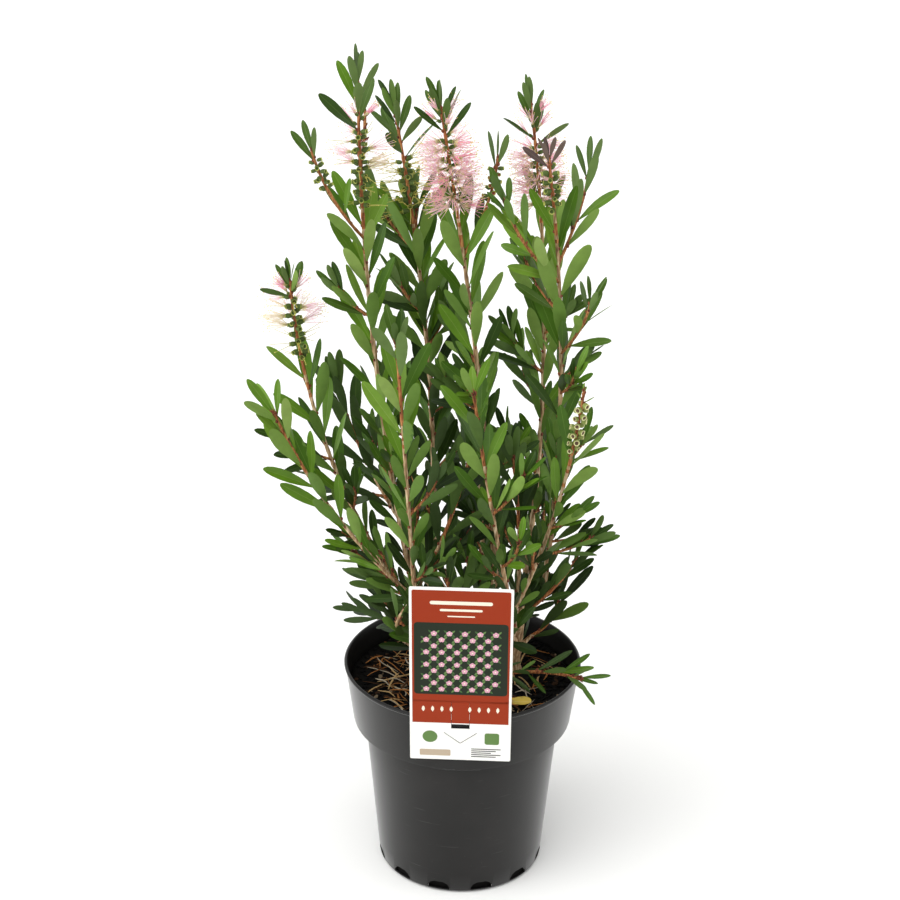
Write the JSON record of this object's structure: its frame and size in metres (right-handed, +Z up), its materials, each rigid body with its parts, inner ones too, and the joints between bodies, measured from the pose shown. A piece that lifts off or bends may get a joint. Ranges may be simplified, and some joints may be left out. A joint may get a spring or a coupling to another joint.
{
  "type": "flowering shrub in a nursery pot",
  "caption": "Upright bottlebrush shrub with leafy shoots and pink flower spikes, standing in a dark nursery pot with a hang label on its rim.",
  "frame": {"origin": "centre of the pot's flat underside, on the surface that the pot stands on", "axes": "+Z up along the pot's axis, -Y towards the side that carries the label, +X to that side's right"},
  "size_m": [0.2929, 0.2721, 0.7229],
  "materials": {
    "pot_plastic": "satin moulded plastic, dark charcoal",
    "potting_mix": "loose dark bark mix",
    "label_card": "printed plastic card, satin",
    "bark": "fine streaked bark",
    "foliage": "smooth leathery leaves, half gloss"
  },
  "bodies": {
    "root": {"bough_back_left": "bark", "bough_back_middle": "bark", "bough_back_right": "bark", "bough_crossing": "bark", "bough_front_left": "bark", "bough_front_middle": "bark", "bough_left_flower": "bark", "bough_left_inner": "bark", "bough_left_low": "bark", "bough_left_skirt": "bark", "bough_low_back": "bark", "bough_low_front": "bark", "bough_right_back": "bark", "bough_right_front": "bark", "bough_right_low": "bark", "bough_right_skirt": "bark", "bough_right_tall": "bark", "bough_rim_right": "bark", "bough_tall_back": "bark", "bough_tall_left": "bark", "bough_tall_middle": "bark", "bough_thin_middle": "bark", "hang_label": "label_card", "pot": "pot_plastic", "potting_mix": "potting_mix", "shoot_back_left": "foliage", "shoot_back_middle": "foliage", "shoot_back_right": "foliage", "shoot_crossing": "foliage", "shoot_front_left": "foliage", "shoot_front_middle": "foliage", "shoot_left_flower": "foliage", "shoot_left_inner": "foliage", "shoot_left_low": "foliage", "shoot_left_skirt": "foliage", "shoot_low_back": "foliage", "shoot_low_front": "foliage", "shoot_right_back": "foliage", "shoot_right_front": "foliage", "shoot_right_low": "foliage", "shoot_right_skirt": "foliage", "shoot_right_tall": "foliage", "shoot_rim_right": "foliage", "shoot_tall_back": "foliage", "shoot_tall_left": "foliage", "shoot_tall_middle": "foliage", "shoot_thin_middle": "foliage", "stem_left": "bark", "stem_middle": "bark", "stem_right": "bark"}
  },
  "joints": []
}
